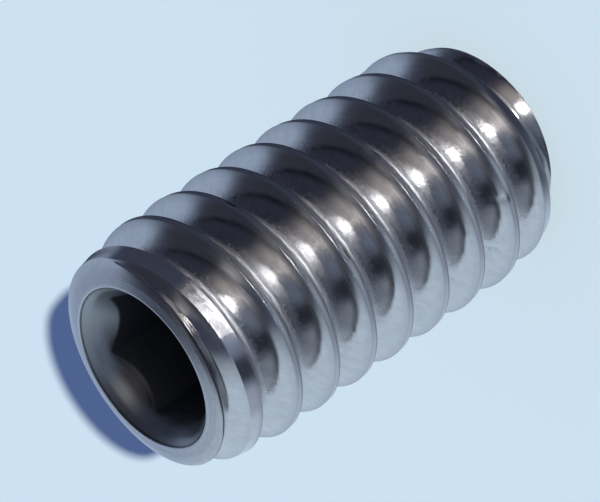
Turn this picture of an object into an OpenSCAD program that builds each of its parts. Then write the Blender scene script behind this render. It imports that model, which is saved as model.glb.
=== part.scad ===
// Grub set screw: a headless screw, threaded over its whole length, with a hexagon socket in one end.
// The axis is Z. The point face stands on z = 0 and the socket opens upwards.

/* [Thread] */
// Major diameter, over the thread crests
thread_d = 6.35; // [6:0.05:8]
// Distance from one crest to the next along the axis
pitch = 1.27; // [0.8:0.01:1.55]
// Overall length, from point face to socket face
length = 11.8; // [8:0.1:25]
// Angle about the axis at which the groove leaves the point face
thread_start = 187; // [0:1:359]

/* [Socket] */
// Hexagon size across flats
hex_af = 3.175; // [2:0.025:3.5]
// Depth of the full hexagon below the socket face
hex_depth = 4; // [2:0.1:5]
// Room round the hexagon's corners at the mouth of the socket
mouth_margin = 0.37; // [0.1:0.01:0.5]
// Angle of the mouth's countersink, wall to wall
mouth_angle = 80; // [60:5:120]
// Angle of the drill point at the bottom of the socket, wall to wall
drill_angle = 120; // [90:1:140]

/* [Ends] */
// How far the edge of the socket face lies inside the thread crests
face_inset = 0.73; // [0.4:0.01:0.8]
// Slope of the chamfer round the socket face, measured from the axis
face_angle = 60; // [30:1:70]
// How far the crests still are below full height where that chamfer ends
lead_inset = 0.3; // [0.1:0.01:0.35]
// Slope at which the crests grow to full height from there, measured from the axis
lead_angle = 11; // [8:1:45]
// How far the edge of the point face lies inside the thread crests
point_inset = 0.45; // [0.2:0.01:0.8]
// Slope of the taper at the point end, measured from the axis
point_angle = 21; // [15:1:60]

/* [Hidden] */

thread_r = thread_d / 2;
face_r = thread_r - face_inset;
lead_r = thread_r - lead_inset;
point_r = thread_r - point_inset;
chamfer_h = (face_inset - lead_inset) / tan(face_angle);
lead_h = lead_inset / tan(lead_angle);
point_h = point_inset / tan(point_angle);

// A 60 degree thread with flat crests an eighth of a pitch wide and a round root.
flank_angle = 30;
crest_w = pitch / 8;
root_half_w = pitch / 8;
root_r = root_half_w / cos(flank_angle);
flank_depth = (pitch / 2 - crest_w / 2 - root_half_w) / tan(flank_angle);
// The groove's cutter stands this far proud of the crests, and narrower than a pitch there.
cutter_rise = pitch / 24;
// The cutter runs this many turns past each end of the screw.
run_out = 0.6;
ring_steps = 40;
root_steps = 4;

corner_r = hex_af / 2 / cos(30);
mouth_r = corner_r + mouth_margin;
// The countersink's cone ends inside the hexagon, where it cuts nothing.
mouth_end_r = hex_af / 3;
mouth_depth = (mouth_r - mouth_end_r) / tan(mouth_angle / 2);
drill_depth = hex_af / 2 / tan(drill_angle / 2);
// A cut starts this far outside the face that it opens in.
overlap = 1;
round_steps = 96;

// The cutter's outline as [radius, height], from its lower edge round the root to its upper edge.
function groove_outline() = let (
    top_w = root_half_w + (flank_depth + cutter_rise) * tan(flank_angle),
    root_centre = thread_r - flank_depth + root_r * sin(flank_angle),
    sweep = 90 - flank_angle
) concat(
    [[thread_r + cutter_rise, -top_w]],
    [for (i = [0 : root_steps]) let (a = -sweep + 2 * sweep * i / root_steps)
        [root_centre - root_r * cos(a), root_r * sin(a)]],
    [[thread_r + cutter_rise, top_w]]
);

// The helical cutter that leaves the thread: its outline carried up a right-hand helix, one ring a step.
module thread_groove() {
    outline = groove_outline();
    n = len(outline);
    turns = length / pitch + 2 * run_out;
    rings = ceil(turns * ring_steps);
    points = [
        for (i = [0 : rings], p = outline)
            let (turn = -run_out + turns * i / rings, a = thread_start + 360 * turn)
            [p[0] * cos(a), p[0] * sin(a), p[1] + pitch * turn]
    ];
    sides = [
        for (i = [0 : rings - 1], j = [0 : n - 1])
            let (a = i * n + j, b = i * n + (j + 1) % n)
            each [[a, a + n, b], [b, a + n, b + n]]
    ];
    caps = [[for (j = [0 : n - 1]) j], [for (j = [n - 1 : -1 : 0]) rings * n + j]];
    polyhedron(points = points, faces = concat(sides, caps));
}

// The outline over the thread crests: a rod with a tapered point end and a chamfered socket end, where the
// crests take more than a turn to reach full height.
module blank() {
    rotate_extrude($fn = round_steps)
        polygon([
            [0, 0], [point_r, 0], [thread_r, point_h],
            [thread_r, length - chamfer_h - lead_h], [lead_r, length - chamfer_h],
            [face_r, length], [0, length]
        ]);
}

// The hexagon with its countersunk mouth and the drill point under it.
module socket() {
    translate([0, 0, length - hex_depth])
        cylinder(r = corner_r, h = hex_depth + overlap, $fn = 6);
    translate([0, 0, length - mouth_depth])
        cylinder(r1 = mouth_end_r, r2 = mouth_r + overlap * tan(mouth_angle / 2), h = mouth_depth + overlap,
                 $fn = round_steps);
    translate([0, 0, length - hex_depth - drill_depth])
        cylinder(r1 = 0, r2 = hex_af / 2, h = drill_depth, $fn = round_steps);
}

module set_screw() {
    color("silver")
        difference() {
            blank();
            thread_groove();
            socket();
        }
}

set_screw();
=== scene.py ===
"""A grub set screw of bright stainless steel, standing on its point on a pale floor.

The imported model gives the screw's box. The threaded surface is worked out here in finer detail.
"""

import math

import bmesh
import bpy
import numpy as np
from bpy.props import FloatProperty, FloatVectorProperty, IntProperty, PointerProperty, StringProperty
from bpy.types import Operator, Panel, PropertyGroup
from mathutils import Matrix, Vector


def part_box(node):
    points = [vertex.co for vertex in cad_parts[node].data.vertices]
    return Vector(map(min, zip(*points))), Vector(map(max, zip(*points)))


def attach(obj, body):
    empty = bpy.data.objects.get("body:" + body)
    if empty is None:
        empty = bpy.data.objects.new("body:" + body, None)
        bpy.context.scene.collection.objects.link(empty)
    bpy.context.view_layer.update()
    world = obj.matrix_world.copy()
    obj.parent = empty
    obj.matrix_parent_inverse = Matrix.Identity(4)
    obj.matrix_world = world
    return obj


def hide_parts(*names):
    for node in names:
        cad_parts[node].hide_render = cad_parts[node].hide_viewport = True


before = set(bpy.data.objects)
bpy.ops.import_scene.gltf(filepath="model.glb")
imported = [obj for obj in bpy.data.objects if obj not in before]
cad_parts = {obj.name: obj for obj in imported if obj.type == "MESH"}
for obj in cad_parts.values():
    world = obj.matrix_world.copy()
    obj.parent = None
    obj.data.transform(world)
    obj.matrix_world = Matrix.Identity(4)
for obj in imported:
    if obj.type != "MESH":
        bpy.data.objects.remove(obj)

bl_info = {
    "name": "Grub Set Screw",
    "version": (1, 0, 0),
    "blender": (4, 5, 0),
    "location": "View3D > Sidebar > Set Screw",
    "description": "Builds a hexagon socket set screw around its packed frame",
    "category": "Add Mesh",
}

MM = 0.001
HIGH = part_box("set_screw")[1]
THREAD_R = HIGH.x
LENGTH = HIGH.z
# Twenty turns to the inch, as on a quarter inch coarse thread.
PITCH = 1.27 * MM


# ---------------------------------------------------------------- sizes and colours

def length(name, description, default):
    """A property that holds a length in metres."""
    return FloatProperty(name=name, description=description, default=default, min=0, unit="LENGTH",
                         precision=6)


def angle(name, description, degrees):
    """A property that holds an angle, given here in degrees."""
    return FloatProperty(name=name, description=description, default=math.radians(degrees), unit="ROTATION")


def colour(name, description, code):
    """A property that holds a colour as an sRGB hex code."""
    return StringProperty(name=name, description=description, default=code, maxlen=7)


class ThreadSizes(PropertyGroup):
    """The right-hand thread that runs from end to end."""

    pitch: length("Pitch", "Distance from one crest to the next along the axis", PITCH)
    crest_w: length("Crest width", "Width of the flat on the crests", PITCH / 8)
    root_half_w: length("Root half width", "Half the width of the round root", PITCH / 8)
    flank: angle("Flank angle", "Slope of a flank, measured from the radius", 30)
    wall: angle("Wall angle", "Slope, from the radius, that the groove's curved wall nears outwards", 28.5)
    root_r: length("Root radius", "Distance of the groove's bottom from the axis", 2.396 * MM)
    start: angle("Start", "Angle about the axis at which the groove leaves the point face", 187)
    crest_lean: angle("Crest lean", "How far the crests lean in towards the point face", 6)
    edge_round: length("Edge rounding", "Depth over which a crest's edge is rounded off", 0.012 * MM)
    columns: IntProperty(name="Columns", description="Steps round the axis", default=252, min=36)


class EndSizes(PropertyGroup):
    """The chamfered socket end and the tapered point end."""

    face_inset: length("Face inset", "How far the socket face's edge lies inside the crests", 0.73 * MM)
    face_drop: length("Face drop", "How far the crowned socket face falls from its inner to its outer edge",
                      0.065 * MM)
    crease_inset: length("Crease inset", "How far the chamfer's crease lies inside the crests", 0.53 * MM)
    crease_drop: length("Crease drop", "How far the crease lies below the socket face", 0.14 * MM)
    lead_drop: length("Lead drop", "How far the chamfer's lower edge lies below the socket face", 0.248 * MM)
    lead_inset: length("Lead inset", "How far the crests are below full height at that edge", 0.3 * MM)
    lead_slope: angle("Lead taper", "Slope at which the crests grow to full height, from the axis", 11)
    point_inset: length("Point inset", "How far the point face's edge lies inside the crests", 0.45 * MM)
    point_slope: angle("Point taper", "Slope of the taper at the point end, from the axis", 21)
    edge_r: length("Edge radius", "Radius of the point face's edge and the mouth's", 0.06 * MM)
    rim_r: length("Rim radius", "Radius of the socket face's outer edge and of the crease", 0.16 * MM)
    rim_off: length("Rim offset", "How far the middle of the socket end's chamfer lies off the axis",
                    0.05 * MM)
    rim_turn: angle("Rim turn", "Direction of that offset", 224)
    rim_reach: length("Rim reach", "How far under the chamfer that offset begins", 0.5 * MM)
    battered_at: angle("Battered side", "Angle about the axis of the battered part of the last crest", 270)
    rim_fill: length("Rim fill", "How far the last groove is filled under the socket face", 0.4 * MM)
    fill_start: length("Fill start", "How far below the socket face that fill begins", 0.228 * MM)
    fill_end: length("Fill end", "How far below the socket face it reaches its full height", 0.108 * MM)
    lip_round: length("Lip rounding", "Depth over which the filled groove's lip is rounded off", 0.372 * MM)


class SocketSizes(PropertyGroup):
    """The hexagon socket with its countersunk mouth."""

    across_flats: length("Across flats", "Size of the hexagon across its flats", 3.175 * MM)
    depth: length("Depth", "Depth of the full hexagon below the socket face", 4.0 * MM)
    corner_r: length("Corner radius", "How far each corner of the hexagon is rounded back", 0.05 * MM)
    mouth_margin: length("Mouth margin", "Room round the hexagon's corners at the mouth", 0.37 * MM)
    mouth_half: angle("Mouth slope", "Slope of the mouth's countersink above its ridge, from the axis", 46)
    ridge_half: angle("Ridge slope", "Slope of the countersink below its ridge, from the axis", 34)
    ridge_r: length("Ridge radius", "Radius of the countersink's ridge", 2.02 * MM)
    mouth_edge_r: length("Mouth edge radius", "Radius of the edge between the countersink and the hexagon",
                         0.15 * MM)
    drill_half: angle("Drill slope", "Slope of the drill point at the bottom, from the axis", 60)
    # The side of the mouth where shade is painted.
    shaded_side_at: angle("Shaded side", "Angle about the axis of the oily side of the mouth", 120)


class SteelColours(PropertyGroup):
    """The steel's colours, outside and in the socket."""

    bare: colour("Bare", "Colour of the bare flanks", "#CCCAC9")
    mottled: colour("Mottled", "Colour of the spots on the bare flanks", "#C2C0BF")
    # Partly wear, partly painted shade: the crests are tinted darker to stand in for the dark that they
    # mirror.
    crest: colour("Crest", "Colour of the worn crests", "#B4B3B5")
    torn: colour("Torn", "Colour of the torn side of the root", "#9C9DA1")
    battered: colour("Battered", "Colour of the battered part of the last crest", "#8A898D")
    # Painted shade: the dark line under each crest's edge.
    painted_shade: colour("PaintedShade", "Colour of the oil along the crests", "#4C4B50")
    mouth: colour("Mouth", "Colour of the countersink", "#909294")
    mouth_ring: colour("Mouth rings", "Colour of the paler rings in the countersink", "#989A9C")
    # Painted shade in the deeper part of the mouth on one side.
    mouth_shade: colour("Mouth oil", "Colour of the oil in the countersink", "#4E4C4B")
    # Painted shade: the hexagon's wall is tinted dark to stand in for the shade inside the socket.
    broached: colour("Broached", "Colour of the hexagon's wall", "#606167")
    streak: colour("Streak", "Colour of the paler streaks down that wall", "#6C6D73")


class StageSettings(PropertyGroup):
    """The floor, the light and the camera."""

    floor_colour: colour("Floor", "Colour of the floor", "#DAEBF7")
    backdrop_colour: colour("Backdrop", "Colour behind the floor's edge", "#D3E4F2")
    shade_colour: colour("Shade", "Colour of the dim light in the shadows on the floor", "#5D6C95")
    room_colour: colour("Room", "Colour that the steel mirrors between the cards", "#464C60")
    floor_r: length("Floor radius", "Radius of the round floor", 2.0)
    key_colour: colour("Key", "Colour of the lamp that throws the shadow", "#FFFFF0")
    key_azimuth: angle("Key azimuth", "Direction from the screw to that lamp, from +X", -96.6)
    key_elevation: angle("Key elevation", "Height of that lamp above the floor, as an angle", 26.75)
    key_spread: angle("Key spread", "Angle that the lamp fills, which softens the shadow", 0.8)
    key_strength: FloatProperty(name="Key strength", description="Strength of that lamp", default=5.35,
                                min=0)
    azimuth: angle("Camera azimuth", "Direction from the screw to the camera, from +X", -96.05)
    elevation: angle("Camera elevation", "Height of the camera above the floor, as an angle", 32.249)
    roll: angle("Camera roll", "Turn of the camera about its line of sight", -123.571)
    distance: length("Camera distance", "Distance from the camera to the point that it looks at",
                     96.611 * MM)
    lens: FloatProperty(name="Lens", description="Focal length", default=236.23, unit="CAMERA")
    aim: FloatVectorProperty(name="Aim", description="Point that the camera looks at", size=3, unit="LENGTH",
                             default=(0.2466 * MM, -0.0261 * MM, 6.2464 * MM), precision=6)


# ---------------------------------------------------------------- colours and nodes

def linear(code):
    """The linear RGBA of an sRGB hex code."""
    parts = np.array([int(code[i:i + 2], 16) for i in (1, 3, 5)]) / 255
    low = parts / 12.92
    high = ((parts + 0.055) / 1.055) ** 2.4
    return (*np.where(parts <= 0.04045, low, high), 1.0)


# A Mix node's sockets go by number, because several of them share a name: its share, its two numbers, its
# two colours, and the output that gives a colour.
SHARE, NUMBER_1, NUMBER_2, COLOUR_1, COLOUR_2 = 0, 2, 3, 6, 7
MIXED_COLOUR = 2


def add(tree, kind, inputs=(), out=0, **settings):
    """Adds a node with its settings and links, and gives one of its outputs.

    An input's value may be another node's output, which is then linked.
    """
    node = tree.nodes.new(kind)
    for name, value in settings.items():
        setattr(node, name, value)
    for name, value in dict(inputs).items():
        if isinstance(value, bpy.types.NodeSocket):
            tree.links.new(value, node.inputs[name])
        else:
            node.inputs[name].default_value = value
    return node.outputs[out]


# ---------------------------------------------------------------- the threaded surface

def step(value, low, high):
    """A soft step from nought at low to one at high: the cubic 3 x^2 - 2 x^3 of the share of the way."""
    x = np.clip((value - low) / (high - low), 0, 1)
    return x * x * (3 - 2 * x)


def smooth_min(a, b, k):
    """The smaller of a and b, rounded where they are near: min(a, b) - max(k - |a - b|, 0)^2 / 4k."""
    return np.minimum(a, b) - np.maximum(k - np.abs(a - b), 0) ** 2 / (4 * k)


# Nicks in the crests, each as (angle about the axis in degrees, height, width, depth), with lengths in mm.
NICKS = (
    (204.0, 2.32, 0.13, 0.10),
    (197.5, 3.62, 0.11, 0.09),
    (199.0, 3.90, 0.09, 0.06),
    (236.0, 2.22, 0.10, 0.03),
    (256.5, 7.26, 0.12, 0.02),
    (287.0, 4.78, 0.11, 0.03),
    (305.0, 8.70, 0.12, 0.03),
    (60.0, 6.5, 0.12, 0.06),
    (128.0, 9.4, 0.10, 0.05),
    (20.0, 3.1, 0.11, 0.05),
)


class Shape:
    """The screw's outline as functions of the angle about the axis and the height."""

    def __init__(self, thread, ends, socket):
        self.thread, self.ends, self.socket = thread, ends, socket
        self.depth = (thread.pitch / 2 - thread.crest_w / 2 - thread.root_half_w) / math.tan(thread.flank)
        self.root_top = THREAD_R - self.depth
        rise = THREAD_R - thread.root_r
        across = (thread.pitch - thread.crest_w) / 2 / math.tan(thread.wall)
        self.fill = (across ** 2 - rise ** 2) / (2 * rise)
        self.apex = thread.root_r - self.fill
        self.face_r = THREAD_R - ends.face_inset
        self.lead_r = THREAD_R - ends.lead_inset
        self.point_r = THREAD_R - ends.point_inset
        self.chamfer_z = LENGTH - ends.lead_drop
        self.crease = (THREAD_R - ends.crease_inset, LENGTH - ends.crease_drop)
        self.corner_r = socket.across_flats / 2 / math.cos(math.pi / 6)
        self.mouth_r = self.corner_r + socket.mouth_margin

    def height_in_groove(self, turn, z):
        """Height above the middle of the nearest groove: z less the helix's rise, wrapped to a pitch."""
        p = self.thread.pitch
        rise = p * (turn - self.thread.start) / (2 * math.pi)
        return (z - rise + p / 2) % p - p / 2

    def vee(self, h):
        """Radius of the groove's wall at height h from its middle: a hyperbola from one crest to the next.

        The sharp groove's radius is its apex plus h over the tangent of the wall's slope. The wall is as
        far above the apex as the root of the squares of that rise and of the root's fill.
        """
        return self.apex + np.sqrt(self.fill ** 2 + (h / math.tan(self.thread.wall)) ** 2)

    def half_width(self, r):
        """Half the groove's width at a radius, which is vee() turned round."""
        return math.tan(self.thread.wall) * np.sqrt(np.maximum((r - self.apex) ** 2 - self.fill ** 2, 0))

    def blank(self, z):
        """Radius over the crests at height z: the least of rod, lead taper, chamfer and point taper."""
        k = self.thread.edge_round
        lead = self.lead_r + (self.chamfer_z - z) * math.tan(self.ends.lead_slope)
        slope = (self.lead_r - self.crease[0]) / (self.crease[1] - self.chamfer_z)
        chamfer = self.lead_r + (self.chamfer_z - z) * slope
        point = self.point_r + z * math.tan(self.ends.point_slope)
        return smooth_min(smooth_min(smooth_min(THREAD_R + 0 * z, lead, k), chamfer, k), point, k)

    def off_centre(self, turn, r, z):
        """An outline's radius r with the offset of the socket end's chamfer.

        It adds the offset times the cosine of the angle from its direction. It grows from nought some way
        under the chamfer, and from nought at the mouth's edge.
        """
        rise = np.clip((z - self.chamfer_z) / self.ends.rim_reach + 1, 0, 1)
        out = np.clip((r - self.mouth_r) / (self.face_r - self.mouth_r), 0, 1)
        return r + self.ends.rim_off * np.cos(turn - self.ends.rim_turn) * rise * out

    def outer(self, turn, z, over):
        """Radius of the outside: the groove's wall or the outline over it, whichever is less, rounded.

        On the crests the outline is less by the tangent of their lean times the distance past the edge
        that faces the socket. Close under the socket face the groove is filled, by a soft step, and its lip
        is rounder. Each nick takes off its depth times the exponential of minus the square of the distance
        over its width.
        """
        t, e = self.thread, self.ends
        h = self.height_in_groove(turn, z)
        past = np.clip(np.where(h < 0, -h, t.pitch - h) - t.pitch / 2 + t.crest_w / 2, 0, t.crest_w)
        crest = np.clip((over - self.root_top) / self.depth, 0, 1)
        near = step(z, LENGTH - e.fill_start, LENGTH - e.fill_end)
        soft = t.edge_round + (e.lip_round - t.edge_round) * near
        r = smooth_min(self.vee(h) + e.rim_fill * near, over - math.tan(t.crest_lean) * past * crest, soft)
        for at, height, width, depth in NICKS:
            round_axis = turn - math.radians(at)
            away = THREAD_R * np.arctan2(np.sin(round_axis), np.cos(round_axis))
            distance = np.hypot(away, z - height * MM)
            r = r - depth * MM * np.exp(-(distance / (width * MM)) ** 2)
        return r

    def hexagon(self, turn):
        """Radius of the hexagon's wall: half its width over the cosine of the angle from a flat's middle."""
        off = (turn % (math.pi / 3)) - math.pi / 6
        flat = self.socket.across_flats / 2 / np.cos(off)
        return smooth_min(flat, self.corner_r - self.socket.corner_r / 2 + 0 * off, self.socket.corner_r)


# Where the rows lie across half a groove and its crest: on the round root, on the flank, round the crest's
# edge and on the crest, each a whole step.
ROOT_STEPS = np.array([0, 0.08, 0.18, 0.3, 0.45, 0.7])
FLANK_STEPS = 1 + np.array([0, 0.2, 0.45, 0.7, 0.95])
CORNER_STEPS = 2 + np.linspace(0, 1, 4)
CREST_STEPS = 3 + np.array([0.1, 0.55, 1])
HALF_THREAD = np.concatenate([ROOT_STEPS, FLANK_STEPS, CORNER_STEPS, CREST_STEPS])
# The crest's edge and the outline there depend on each other, so they are found in this many passes.
EDGE_PASSES = 8
# The helix rises by a turn round the axis, so the rows begin and end this many turns past the ends.
SPARE_TURNS = 2


def thread_rows(shape, turn, low, high):
    """The thread's rows as radius, height and outline, which follow the helix from height low to high.

    A row keeps its place in the groove: 0 to 1 on the round root, 1 to 2 on the flank, 2 to 3 round the
    crest's edge, 3 to 4 on the crest. Where the screw tapers, that edge comes lower down the flank.
    """
    t = shape.thread
    first = math.floor(low / t.pitch) - SPARE_TURNS
    last = math.ceil(high / t.pitch) + SPARE_TURNS
    place = np.concatenate([-HALF_THREAD[::-1], HALF_THREAD[1:-1]])
    lap = np.repeat(np.arange(first, last), len(place))[:, None]
    place = np.tile(place, last - first)[:, None]
    side = np.where(place < 0, -1, 1)
    place = np.abs(place)
    middle = t.pitch * (lap + (turn[None, :] - t.start) / (2 * math.pi))
    soft = t.edge_round * math.tan(t.flank)
    top = t.pitch / 2 - soft
    edge = top + 0 * middle
    for _ in range(EDGE_PASSES):
        at = np.clip(middle + side * edge, low, high)
        over = shape.off_centre(turn[None, :], shape.blank(at), at)
        edge = np.clip(shape.half_width(over), t.root_half_w + 2 * soft, top)
    root = t.root_half_w * place
    flank = t.root_half_w + (edge - soft - t.root_half_w) * (place - 1)
    corner = edge + soft * (2 * (place - 2) - 1)
    crest = edge + soft + (t.pitch / 2 - edge - soft) * (place - 3)
    h = np.where(place < 1, root, np.where(place < 2, flank, np.where(place < 3, corner, crest)))
    z = np.clip(middle + side * h, low, high)
    over = shape.off_centre(turn[None, :], shape.blank(z), z)
    return shape.outer(turn[None, :], z, over), z, over


# Beside an arc, a path's straight side has a point this many times the arc's reach from the corner.
BESIDE_ARC = 1.6


def rounded(points, radii, steps=5):
    """A path through (radius, height) points whose corners are arcs of the radii, tangent to both sides.

    Each side also gets a point close to its ends, which keeps the flat flat beside its arcs.
    """
    points = np.array(points, float)
    out = [points[0]]
    for before, here, after, radius in zip(points, points[1:], points[2:], radii):
        u = (before - here) / np.linalg.norm(before - here)
        v = (after - here) / np.linalg.norm(after - here)
        half = math.acos(np.clip(u @ v, -1, 1)) / 2
        reach = radius / math.tan(half)
        centre = here + (u + v) / np.linalg.norm(u + v) * radius / math.sin(half)
        start, end = here + u * reach - centre, here + v * reach - centre
        f = np.linspace(0, 1, steps + 1)[:, None]
        gap = math.pi - 2 * half
        arc = (np.sin((1 - f) * gap) * start + np.sin(f * gap) * end) / math.sin(gap)
        out += [here + u * reach * BESIDE_ARC, *(centre + arc), here + v * reach * BESIDE_ARC]
    out.append(points[-1])
    return np.array(out)


def filled(path, gap):
    """The same path with more points, so that no two neighbours are further apart than gap."""
    out = [path[0]]
    for a, b in zip(path, path[1:]):
        n = max(1, math.ceil(np.linalg.norm(b - a) / gap))
        out += [a + (b - a) * i / n for i in range(1, n + 1)]
    return np.array(out)


def face_rows(shape, turn, path):
    """Rows round the axis along a path of (radius, height) points, cut where the groove is deeper."""
    z = path[:, 1:] + 0 * turn[None, :]
    over = shape.off_centre(turn[None, :], path[:, :1] + 0 * z, z)
    return shape.outer(turn[None, :], z, over), z, over


# Where the rows lie down each stretch of the socket, as shares of it. The drill point's go inwards.
CONE_STEPS = np.array([0.15, 0.4, 0.7, 0.95])[:, None]
UNDER_STEPS = np.array([0.1, 0.3, 0.6, 0.9, 1])[:, None]
EDGE_STEPS = np.array([0.25, 0.5, 0.75, 1])[:, None]
WALL_STEPS = np.array([0.01, 0.04, 0.3, 0.6, 0.95, 1])[:, None]
DRILL_STEPS = np.array([0.97, 0.7, 0.35, 0])[:, None]


def socket_rows(shape, turn):
    """The socket from its mouth down: the countersink to the hexagon, its walls, and the drill point.

    The countersink's radius falls by depth times the tangent of its slope, which is steeper under its ridge,
    so it meets the hexagon deeper at the flats than at the corners. Their edge is a parabola.
    """
    s = shape.socket
    hexagon = shape.hexagon(turn)[None, :]
    ridge = (shape.mouth_r - s.ridge_r) / math.tan(s.mouth_half)
    meet = ridge + (s.ridge_r - hexagon) / math.tan(s.ridge_half)
    reach = s.mouth_edge_r * math.tan(s.ridge_half / 2)
    start = meet - reach * math.cos(s.ridge_half)
    down = CONE_STEPS * ridge + 0 * hexagon
    cone = shape.mouth_r - down * math.tan(s.mouth_half), LENGTH - down
    down = UNDER_STEPS * (start - ridge)
    under = s.ridge_r - down * math.tan(s.ridge_half), LENGTH - ridge - down
    f = EDGE_STEPS
    edge = (hexagon + (1 - f) ** 2 * reach * math.sin(s.ridge_half),
            LENGTH - (1 - f) ** 2 * start - 2 * f * (1 - f) * meet - f ** 2 * (meet + reach))
    down = meet + reach + WALL_STEPS * (s.depth - meet - reach)
    wall = hexagon + 0 * down, LENGTH - down
    drill_r = s.across_flats / 2
    tip = drill_r * DRILL_STEPS + 0 * hexagon
    drill = tip, LENGTH - s.depth - (drill_r - tip) / math.tan(s.drill_half)
    return [(r, z, r) for r, z in (cone, under, edge, wall, drill)]


# ---------------------------------------------------------------- where each finish lies

# Soft steps, each as (where it is nought, where it is one). These are depths under the outline, as shares of
# the thread's depth.
ROOT_DEPTH = (0.6, 0.8)
CREST_DEPTH = (0.1, 0.04)
TORN_DEPTH = (0.45, 0.65)
BATTERED_DEPTH = (0.3, 0.1)
LIP_START = (0.015, 0.03)
LIP_END = (0.25, 0.12)
# The side of the groove under a crest, as heights above the groove's middle in pitches.
UNDER_CREST = (-0.13, -0.01)
# The last crest, as heights of its lower side and of its upper side, and where the crests are less worn
# and less darkened by painted shade.
LAST_CREST_LOW = (LENGTH - 1.3 * MM, LENGTH - 1.0 * MM)
LAST_CREST_HIGH = (LENGTH - 0.3 * MM, LENGTH - 0.5 * MM)
LESS_WORN_AND_SHADED = (LENGTH - 1.3 * MM, LENGTH - 0.9 * MM)
LESS_WORN_AND_SHADED_BY = 0.75
# The battered side and the side of the mouth where shade is painted, as cosines of the angle from their
# middle.
BATTERED_SIDE = (0.95, 0.99)
SHADED_SIDE = (-0.2, 0.5)
# The deeper part of the mouth, as radii.
DEEP_MOUTH = (1.90 * MM, 1.75 * MM)
# The rim has a little of the battered finish, from the chamfer up to a height and from the mouth out.
RIM_SHARE = 0.3
RIM_TOP = LENGTH - 0.05 * MM
RIM_START_W = 0.1 * MM


def finish_marks(shape, turn, r, z, over):
    """Where the surface is root, worn crest, torn and battered, as four shares, and where shade is painted.

    They are products of soft steps. The crests are less worn and less darkened at the socket end, where one
    side is battered. Their darker tint is partly painted shade. The root is torn on its side under a crest.
    A dark line of painted shade lies along that crest's edge, and painted shade lies in the deeper part of
    the mouth on one side.
    """
    depth = (over - r) / shape.depth
    under = step(shape.height_in_groove(turn, z) / shape.thread.pitch, *UNDER_CREST)
    root = step(depth, *ROOT_DEPTH)
    # The crest share gives worn roughness and a darker tint that is painted shade; both are less at the
    # socket end.
    crest = step(depth, *CREST_DEPTH) * (1 - LESS_WORN_AND_SHADED_BY * step(z, *LESS_WORN_AND_SHADED))
    torn = under * step(depth, *TORN_DEPTH)
    side = step(np.cos(turn - shape.ends.battered_at), *BATTERED_SIDE)
    battered = step(z, *LAST_CREST_LOW) * step(z, *LAST_CREST_HIGH) * side * step(depth, *BATTERED_DEPTH)
    rim = step(z, shape.chamfer_z, RIM_TOP) * step(over, shape.mouth_r, shape.mouth_r + RIM_START_W)
    # The lip under each crest and the mouth's deeper side on one side carry painted shade, a dark tint.
    lip = under * step(depth, *LIP_START) * step(depth, *LIP_END)
    mouth = step(over, *DEEP_MOUTH) * step(np.cos(turn - shape.socket.shaded_side_at), *SHADED_SIDE)
    return np.stack([root, crest, torn, np.maximum(battered, RIM_SHARE * rim)], -1), np.maximum(lip, mouth)


# ---------------------------------------------------------------- the body

# The greatest gap between rows on the point end and on the socket end.
POINT_GAP = 0.25 * MM
TOP_GAP = 0.04 * MM
# The rows round the chamfer's lower edge: how many, and how far above it they reach.
CHAMFER_ROWS = 9
CHAMFER_REACH = 0.05 * MM
# Points closer than this are one point, and edges sharper than this are shaded sharp.
WELD_GAP = 0.0001 * MM
SHARP_EDGE = math.radians(38)


def weld(mesh, distance):
    """Joins points that lie together, which closes the seam, the poles and the ends of the thread."""
    work = bmesh.new()
    work.from_mesh(mesh)
    bmesh.ops.remove_doubles(work, verts=work.verts, dist=distance)
    bmesh.ops.dissolve_degenerate(work, dist=distance, edges=work.edges)
    work.to_mesh(mesh)
    work.free()


def grid_mesh(name, points, uv):
    """A mesh over a grid of points, rows by columns, with four-sided faces that look outwards."""
    rows, columns = points.shape[:2]
    index = np.arange(rows * columns).reshape(rows, columns)
    faces = np.stack([index[:-1, :-1], index[:-1, 1:], index[1:, 1:], index[1:, :-1]], -1).reshape(-1, 4)
    mesh = bpy.data.meshes.new(name)
    mesh.vertices.add(rows * columns)
    mesh.vertices.foreach_set("co", points.reshape(-1).astype(np.float32))
    mesh.loops.add(faces.size)
    mesh.loops.foreach_set("vertex_index", faces.reshape(-1).astype(np.int32))
    mesh.polygons.add(len(faces))
    mesh.polygons.foreach_set("loop_start", np.arange(0, faces.size, 4, dtype=np.int32))
    mesh.update(calc_edges=True)
    layer = mesh.uv_layers.new(name="Surface")
    layer.data.foreach_set("uv", uv.reshape(-1, 2)[faces.reshape(-1)].reshape(-1).astype(np.float32))
    return mesh


def body_rows(shape, turn):
    """All rows from the point face up the thread, over the socket face and down the socket."""
    ends = shape.ends
    low = 2 * ends.edge_r
    high = shape.chamfer_z - 2 * shape.thread.edge_round
    point = rounded([(0, 0), (shape.point_r, 0), (shape.blank(np.array(low)), low)], [ends.edge_r])
    heights = np.linspace(high, shape.chamfer_z + CHAMFER_REACH, CHAMFER_ROWS)
    chamfer = np.stack([shape.blank(heights), heights], -1)
    face = shape.face_r, LENGTH - ends.face_drop
    inner = shape.mouth_r - ends.edge_r, LENGTH - ends.edge_r / math.tan(shape.socket.mouth_half)
    top = rounded([chamfer[-1], shape.crease, face, (shape.mouth_r, LENGTH), inner],
                  [ends.rim_r, ends.rim_r, ends.edge_r])
    top = np.concatenate([chamfer[:-1], filled(top, TOP_GAP)])
    return [face_rows(shape, turn, filled(point, POINT_GAP)), thread_rows(shape, turn, low, high),
            face_rows(shape, turn, top), *socket_rows(shape, turn)]


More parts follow.
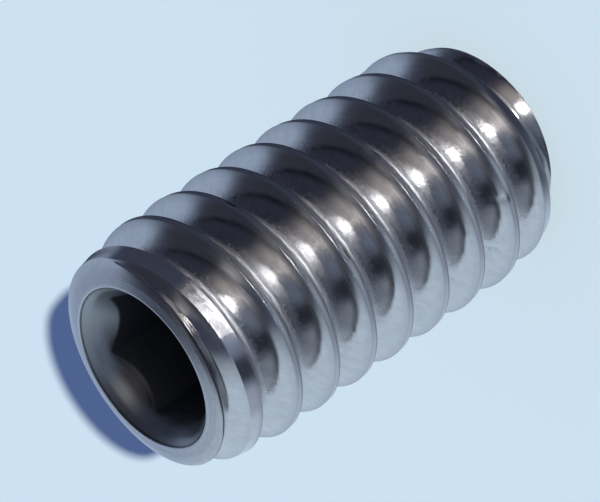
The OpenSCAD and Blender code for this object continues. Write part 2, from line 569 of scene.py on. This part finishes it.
def body_mesh(shape):
    """The body's mesh, with its finish and its painted shade as attributes.

    Its UV map is in millimetres: the way round the axis, and the height above the helix. Over the chamfer
    and the face the height goes on by the way inwards, so that nothing there is stretched.
    """
    turn = np.linspace(0, 2 * math.pi, shape.thread.columns + 1)
    rows = body_rows(shape, turn)
    r, z, over = (np.concatenate([part[i] for part in rows]) for i in range(3))
    points = np.stack([r * np.cos(turn), r * np.sin(turn), z], -1)
    along = turn[None, :] * THREAD_R / MM + 0 * z
    inwards = np.clip((z - shape.chamfer_z) / shape.ends.lead_drop, 0, 1) * (shape.lead_r - r)
    across = (z + inwards - shape.thread.pitch * turn[None, :] / (2 * math.pi)) / MM
    mesh = grid_mesh("screw_body", points, np.stack([along, across], -1))
    # The second result is the share of painted shade along the crests' lips and in the mouth.
    marks, painted_shade = finish_marks(shape, turn[None, :], r, z, over)
    finish = mesh.color_attributes.new("Finish", "FLOAT_COLOR", "POINT")
    finish.data.foreach_set("color", marks.reshape(-1).astype(np.float32))
    shaded = mesh.attributes.new("PaintedShade", "FLOAT", "POINT")
    shaded.data.foreach_set("value", painted_shade.reshape(-1).astype(np.float32))
    weld(mesh, WELD_GAP)
    mesh.polygons.foreach_set("use_smooth", np.ones(len(mesh.polygons), bool))
    mesh.set_sharp_from_angle(angle=SHARP_EDGE)
    return mesh


def material_numbers(mesh, shape):
    """Each face's material: 0 outside, 1 inside the mouth's edge, 2 within a hair of the hexagon's wall."""
    centre = np.empty(3 * len(mesh.polygons), np.float32)
    mesh.polygons.foreach_get("center", centre)
    x, y, z = centre.reshape(-1, 3).T
    r = np.hypot(x, y)
    mouth = (r < shape.mouth_r - shape.ends.edge_r / 4) & (z > LENGTH / 2)
    wall = mouth & (r < shape.hexagon(np.arctan2(y, x)) + shape.ends.edge_r / 8)
    return mouth.astype(np.int32) + wall


class SETSCREW_OT_body(Operator):
    """Builds the threaded, socketed body as one closed surface"""

    bl_idname = "setscrew.body"
    bl_label = "Screw Body"

    def execute(self, context):
        scene = context.scene
        shape = Shape(scene.set_screw_thread, scene.set_screw_ends, scene.set_screw_socket)
        mesh = body_mesh(shape)
        for steel in (stainless_steel, drilled_steel, broached_steel):
            mesh.materials.append(steel(scene.set_screw_steel))
        mesh.polygons.foreach_set("material_index", material_numbers(mesh, shape))
        body = bpy.data.objects.new("screw_body", mesh)
        scene.collection.objects.link(body)
        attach(body, "root")
        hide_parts("set_screw")
        return {"FINISHED"}


# ---------------------------------------------------------------- materials

def surface_noise(tree, stretch, detail, roughness=0.5):
    """Noise on the surface's own millimetres, with so many grains to a millimetre along and across."""
    place = add(tree, "ShaderNodeUVMap", uv_map="Surface")
    place = add(tree, "ShaderNodeMapping", {"Vector": place, "Scale": (*stretch, 1)})
    return add(tree, "ShaderNodeTexNoise",
               {"Vector": place, "Scale": 1, "Detail": detail, "Roughness": roughness},
               noise_dimensions="2D")


def metal(name):
    """A new metallic material with its node tree and its shader's inputs."""
    material = bpy.data.materials.new(name)
    material.use_nodes = True
    inputs = material.node_tree.nodes["Principled BSDF"].inputs
    inputs["Metallic"].default_value = 1
    return material, material.node_tree, inputs


def stainless_steel(colours):
    """Rolled and tumbled stainless steel: a grey mirror, slightly warm, with faint lines along the thread.

    Its roots hold burrs and are torn matt under each crest, where a dark line is painted shade. Its crests
    and its rim are worn duller, and the crests' darker tint is partly painted shade. The lines lie 0.04 mm
    apart and the burrs 0.1 mm, both coarser than real ones, so that they show.
    """
    material, tree, inputs = metal("rolled_stainless_steel")
    finish = add(tree, "ShaderNodeVertexColor", layer_name="Finish").node.outputs
    battered = finish["Alpha"]
    root, crest, torn = add(tree, "ShaderNodeSeparateColor", {"Color": finish["Color"]}).node.outputs
    # The share of painted shade: a dark line under each crest.
    painted_shade = add(tree, "ShaderNodeAttribute", out="Fac", attribute_name="PaintedShade")
    lines = surface_noise(tree, (0.6, 26), 3)
    mottle = surface_noise(tree, (3.5, 5), 4, 0.6)
    burrs = surface_noise(tree, (9, 14), 2)

    spots = add(tree, "ShaderNodeMapRange", {"Value": mottle, "From Min": 0.35, "From Max": 0.7})
    tint = linear(colours.bare)
    # The crest tint is partly painted shade, and the last tint is painted shade under each crest.
    for share, code in ((spots, colours.mottled), (crest, colours.crest), (torn, colours.torn),
                        (battered, colours.battered), (painted_shade, colours.painted_shade)):
        tint = add(tree, "ShaderNodeMix", {SHARE: share, COLOUR_1: tint, COLOUR_2: linear(code)},
                   MIXED_COLOUR, data_type="RGBA")
    tree.links.new(tint, inputs["Base Color"])

    flank = add(tree, "ShaderNodeMapRange", {"Value": lines, "From Min": 0.3, "From Max": 0.75,
                                             "To Min": 0.10, "To Max": 0.17})
    worn = add(tree, "ShaderNodeMix", {SHARE: crest, NUMBER_1: flank, NUMBER_2: 0.27})
    beaten = add(tree, "ShaderNodeMix", {SHARE: battered, NUMBER_1: worn, NUMBER_2: 0.4})
    burred = add(tree, "ShaderNodeMapRange", {"Value": burrs, "From Min": 0.4, "From Max": 0.7,
                                              "To Min": 0.15, "To Max": 0.26})
    matt = add(tree, "ShaderNodeMix", {SHARE: torn, NUMBER_1: burred, NUMBER_2: 0.52})
    bare = add(tree, "ShaderNodeMix", {SHARE: root, NUMBER_1: beaten, NUMBER_2: matt})
    # Where shade is painted, the roughness goes to 0.45.
    shaded = add(tree, "ShaderNodeMix", {SHARE: painted_shade, NUMBER_1: bare, NUMBER_2: 0.45})
    tree.links.new(shaded, inputs["Roughness"])

    dented = add(tree, "ShaderNodeMix", {SHARE: battered, NUMBER_1: lines, NUMBER_2: mottle})
    uneven = add(tree, "ShaderNodeMix", {SHARE: root, NUMBER_1: dented, NUMBER_2: burrs})
    deep = add(tree, "ShaderNodeMix", {SHARE: battered, NUMBER_1: 0.01, NUMBER_2: 0.25})
    strength = add(tree, "ShaderNodeMix", {SHARE: root, NUMBER_1: deep, NUMBER_2: 0.03})
    bump = add(tree, "ShaderNodeBump", {"Height": uneven, "Strength": strength, "Distance": 0.1 * MM})
    tree.links.new(bump, inputs["Normal"])
    return material


def drilled_steel(colours):
    """The countersunk mouth, duller and darker than the outside, with fine rings left by the drill.

    The rings are 0.025 mm apart. A dark tint is painted as shade in the mouth's deeper part on one side.
    """
    material, tree, inputs = metal("dull_drilled_steel")
    place = add(tree, "ShaderNodeTexCoord", out="Object")
    height = add(tree, "ShaderNodeSeparateXYZ", {"Vector": place}, "Z")
    rings = add(tree, "ShaderNodeTexNoise", {"W": height, "Scale": 40 / MM, "Detail": 2},
                noise_dimensions="1D")
    # The share of painted shade in the deeper part of the mouth on one side, which takes the darkest tint.
    painted_shade = add(tree, "ShaderNodeAttribute", out="Fac", attribute_name="PaintedShade")

    worn = add(tree, "ShaderNodeMapRange", {"Value": rings, "From Min": 0.3, "From Max": 0.7})
    tint = linear(colours.mouth)
    for share, code in ((worn, colours.mouth_ring), (painted_shade, colours.mouth_shade)):
        tint = add(tree, "ShaderNodeMix", {SHARE: share, COLOUR_1: tint, COLOUR_2: linear(code)},
                   MIXED_COLOUR, data_type="RGBA")
    tree.links.new(tint, inputs["Base Color"])

    dull = add(tree, "ShaderNodeMapRange", {"Value": rings, "To Min": 0.32, "To Max": 0.4})
    shaded = add(tree, "ShaderNodeMix", {SHARE: painted_shade, NUMBER_1: dull, NUMBER_2: 0.4})
    tree.links.new(shaded, inputs["Roughness"])
    bump = add(tree, "ShaderNodeBump", {"Height": rings, "Strength": 0.04, "Distance": 0.01 * MM})
    tree.links.new(bump, inputs["Normal"])
    return material


def broached_steel(colours):
    """The socket's broached wall, dark as painted shade and rough with marks that run down it, 0.09 mm
    apart.
    """
    material, tree, inputs = metal("shaded_broached_steel")
    marks = surface_noise(tree, (11, 0.7), 3)
    streaks = add(tree, "ShaderNodeMapRange", {"Value": marks, "From Min": 0.35, "From Max": 0.7})
    # The wall's dark tints are painted shade; the paler streaks follow its marks.
    tint = add(tree, "ShaderNodeMix",
               {SHARE: streaks, COLOUR_1: linear(colours.broached), COLOUR_2: linear(colours.streak)},
               MIXED_COLOUR, data_type="RGBA")
    tree.links.new(tint, inputs["Base Color"])
    rough = add(tree, "ShaderNodeMapRange", {"Value": marks, "To Min": 0.55, "To Max": 0.7})
    tree.links.new(rough, inputs["Roughness"])
    bump = add(tree, "ShaderNodeBump", {"Height": marks, "Strength": 0.25, "Distance": 0.02 * MM})
    tree.links.new(bump, inputs["Normal"])
    return material


def floor_paint(code):
    """Pale blue card, smooth and matt."""
    material = bpy.data.materials.new("pale_card")
    material.use_nodes = True
    inputs = material.node_tree.nodes["Principled BSDF"].inputs
    inputs["Base Color"].default_value = linear(code)
    inputs["Roughness"].default_value = 0.9
    inputs["Specular IOR Level"].default_value = 0.1
    return material


# ---------------------------------------------------------------- the stage

FLOOR_SIDES = 128
# The nearest and the furthest that the camera sees, in metres.
SIGHT = (0.005, 20)

# What the steel mirrors: walls, cards and lights round it, each as (name, azimuth from the camera's side,
# elevation, half width, half height, softness of its sides, softness of its top, colour, strength), with all
# angles in degrees. Later ones cover earlier ones.
CARDS = (
    ("blue_wall", 44, 12, 34, 56, 10, 12, "#7A889F", 1.0),
    ("low_card", 55, -54, 34, 14, 8, 6, "#C8D6E8", 1.0),
    ("side_wall", 96, 2, 27, 55, 5, 7, "#B4C1D6", 1.0),
    ("high_wall", 102, 54, 50, 13, 12, 5, "#AFBED0", 1.0),
    ("high_dark", -85, 64, 75, 17, 15, 8, "#3B3D49", 1.0),
    ("pale_wall", 137, 0, 37, 57, 8, 8, "#CBDFF3", 1.08),
    ("pale_card", 200, 12, 35, 33, 7, 6, "#AFC3E0", 1.0),
    ("ceiling", 0, 90, 180, 11, 0, 3, "#4A4658", 1.0),
    ("high_glow", -120, 90, 85, 10.5, 15, 3, "#B8BABD", 1.0),
    ("blue_card", 16, -15, 16, 14, 5, 6, "#94A4C0", 1.0),
    ("strip_light", -14, 2, 17, 40, 16, 7, "#F4EFF0", 1.0),
    ("dark_box", 51, -22, 11.5, 16, 4, 4, "#3A404C", 1.0),
    ("glow", -4, 10, 8, 13, 22, 10, "#CAD2DC", 1.0),
    ("lamp_rim", -3.5, -17, 1.5, 16, 1.5, 5, "#FFFFFF", 1.8),
    ("lamp", -3, -5, 3, 8, 1.5, 4, "#FFFFFF", 100.0),
)


def facing(azimuth, elevation):
    """The unit vector at an azimuth and an elevation."""
    return np.array([math.cos(elevation) * math.cos(azimuth), math.cos(elevation) * math.sin(azimuth),
                     math.sin(elevation)])


def turned(back, roll):
    """The rotation whose Z is back and whose X is level, turned about back by roll."""
    z = Vector(back).normalized()
    x = Vector((0, 0, 1)).cross(z).normalized()
    y = z.cross(x)
    frame_in_world = Matrix((x, y, z)).transposed()
    return (frame_in_world @ Matrix.Rotation(roll, 3, "Z")).to_4x4()


def round_floor(scene, stage):
    """The flat round floor, which the steel doesn't mirror."""
    steps = np.linspace(0, 2 * math.pi, FLOOR_SIDES, endpoint=False)
    rim = np.stack([np.cos(steps), np.sin(steps), 0 * steps], -1) * stage.floor_r
    mesh = bpy.data.meshes.new("floor")
    mesh.from_pydata(rim.tolist(), [], [list(range(len(rim)))])
    mesh.materials.append(floor_paint(stage.floor_colour))
    floor = bpy.data.objects.new("floor", mesh)
    floor.visible_glossy = False
    scene.collection.objects.link(floor)


def key_lamp(scene, stage):
    """The distant lamp that throws the shadow. The steel mirrors a bright card in its place."""
    data = bpy.data.lights.new("key", "SUN")
    data.energy = stage.key_strength
    data.angle = stage.key_spread
    data.color = linear(stage.key_colour)[:3]
    lamp = bpy.data.objects.new("key", data)
    lamp.matrix_world = turned(facing(stage.key_azimuth, stage.key_elevation), 0)
    lamp.visible_glossy = False
    scene.collection.objects.link(lamp)


def rolled_camera(scene, stage):
    """The camera, at its distance from the point that it looks at."""
    data = bpy.data.cameras.new("camera")
    data.lens = stage.lens
    data.clip_start, data.clip_end = SIGHT
    camera = bpy.data.objects.new("camera", data)
    back = facing(stage.azimuth, stage.elevation)
    pose = turned(back, stage.roll)
    pose.translation = np.array(stage.aim) + back * stage.distance
    camera.matrix_world = pose
    scene.collection.objects.link(camera)
    scene.camera = camera


def within(tree, source, middle, half, soft):
    """One where an angle is less than half away from the middle, falling softly to nought, in degrees."""
    gap = add(tree, "ShaderNodeMath", {0: source, 1: math.radians(middle)}, operation="SUBTRACT")
    gap = add(tree, "ShaderNodeMath", {0: gap, 1: -math.pi, 2: math.pi}, operation="WRAP")
    gap = add(tree, "ShaderNodeMath", {0: gap}, operation="ABSOLUTE")
    return add(tree, "ShaderNodeMapRange", {"Value": gap, "From Min": math.radians(half + soft),
                                            "From Max": math.radians(max(half - soft, 0))},
               interpolation_type="SMOOTHSTEP")


def mirrored_room(tree, stage):
    """The colour of the room in each direction: its own dark colour, covered by one card after another.

    A card's share is the product of two soft steps, one on the angle from its azimuth and one on that
    from its elevation.
    """
    where = add(tree, "ShaderNodeTexCoord", out="Generated")
    where = add(tree, "ShaderNodeVectorRotate",
                {"Vector": where, "Axis": (0, 0, 1), "Angle": -stage.azimuth}, rotation_type="AXIS_ANGLE")
    x, y, z = add(tree, "ShaderNodeSeparateXYZ", {"Vector": where}).node.outputs
    flipped = add(tree, "ShaderNodeMath", {0: y, 1: -1}, operation="MULTIPLY")
    around = add(tree, "ShaderNodeMath", {0: flipped, 1: x}, operation="ARCTAN2")
    above = add(tree, "ShaderNodeMath", {0: z}, operation="ARCSINE")
    seen = linear(stage.room_colour)
    for name, azimuth, elevation, half_w, half_h, side_soft, top_soft, code, strength in CARDS:
        across = within(tree, around, azimuth, half_w, side_soft)
        upwards = within(tree, above, elevation, half_h, top_soft)
        share = add(tree, "ShaderNodeMath", {0: across, 1: upwards}, operation="MULTIPLY")
        tint = [part * strength for part in linear(code)[:3]] + [1]
        seen = add(tree, "ShaderNodeMix", {SHARE: share, COLOUR_1: seen, COLOUR_2: tint},
                   MIXED_COLOUR, data_type="RGBA", label=name)
    return seen


def surroundings(scene, stage):
    """What lies round the screw: the room that the steel mirrors, a backdrop and a dim blue light.

    A ray that has met the floor doesn't see the room, so the cards throw no bright spots on the floor.
    """
    world = bpy.data.worlds.new("surroundings")
    world.use_nodes = True
    tree = world.node_tree
    tree.nodes.clear()
    paths = add(tree, "ShaderNodeLightPath").node.outputs
    first = add(tree, "ShaderNodeMath", {0: paths["Diffuse Depth"], 1: 0.5}, operation="LESS_THAN")
    in_steel = add(tree, "ShaderNodeMath", {0: paths["Is Glossy Ray"], 1: first}, operation="MULTIPLY")
    tints = linear(stage.shade_colour), mirrored_room(tree, stage), linear(stage.backdrop_colour)
    dim, mirrored, pale = (add(tree, "ShaderNodeBackground", {"Color": tint, "Strength": 1})
                           for tint in tints)
    light = add(tree, "ShaderNodeMixShader", {0: in_steel, 1: dim, 2: mirrored})
    both = add(tree, "ShaderNodeMixShader", {0: paths["Is Camera Ray"], 1: light, 2: pale})
    tree.links.new(both, tree.nodes.new("ShaderNodeOutputWorld").inputs["Surface"])
    scene.world = world


class SETSCREW_OT_stage(Operator):
    """Builds the floor, the lamp, the surroundings and the camera"""

    bl_idname = "setscrew.stage"
    bl_label = "Stage"

    def execute(self, context):
        scene = context.scene
        stage = scene.set_screw_stage
        round_floor(scene, stage)
        key_lamp(scene, stage)
        surroundings(scene, stage)
        rolled_camera(scene, stage)
        scene.view_settings.view_transform = "Standard"
        return {"FINISHED"}


# ---------------------------------------------------------------- panel and registration

class SETSCREW_PT_panel(Panel):
    """Lists the operators in the 3D view's sidebar"""

    bl_idname = "SETSCREW_PT_panel"
    bl_label = "Grub Set Screw"
    bl_space_type = "VIEW_3D"
    bl_region_type = "UI"
    bl_category = "Set Screw"

    def draw(self, context):
        for operator in OPERATORS:
            self.layout.operator(operator.bl_idname)


OPERATORS = (SETSCREW_OT_body, SETSCREW_OT_stage)
SETTINGS = {"set_screw_thread": ThreadSizes, "set_screw_ends": EndSizes, "set_screw_socket": SocketSizes,
            "set_screw_steel": SteelColours, "set_screw_stage": StageSettings}


def register():
    for cls in (*SETTINGS.values(), *OPERATORS, SETSCREW_PT_panel):
        bpy.utils.register_class(cls)
    for name, cls in SETTINGS.items():
        setattr(bpy.types.Scene, name, PointerProperty(type=cls))


def unregister():
    for name in SETTINGS:
        delattr(bpy.types.Scene, name)
    for cls in (SETSCREW_PT_panel, *reversed(OPERATORS), *reversed(SETTINGS.values())):
        bpy.utils.unregister_class(cls)


def main():
    register()
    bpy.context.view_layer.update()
    bpy.ops.setscrew.body()
    bpy.ops.setscrew.stage()


if __name__ == "__main__":
    main()
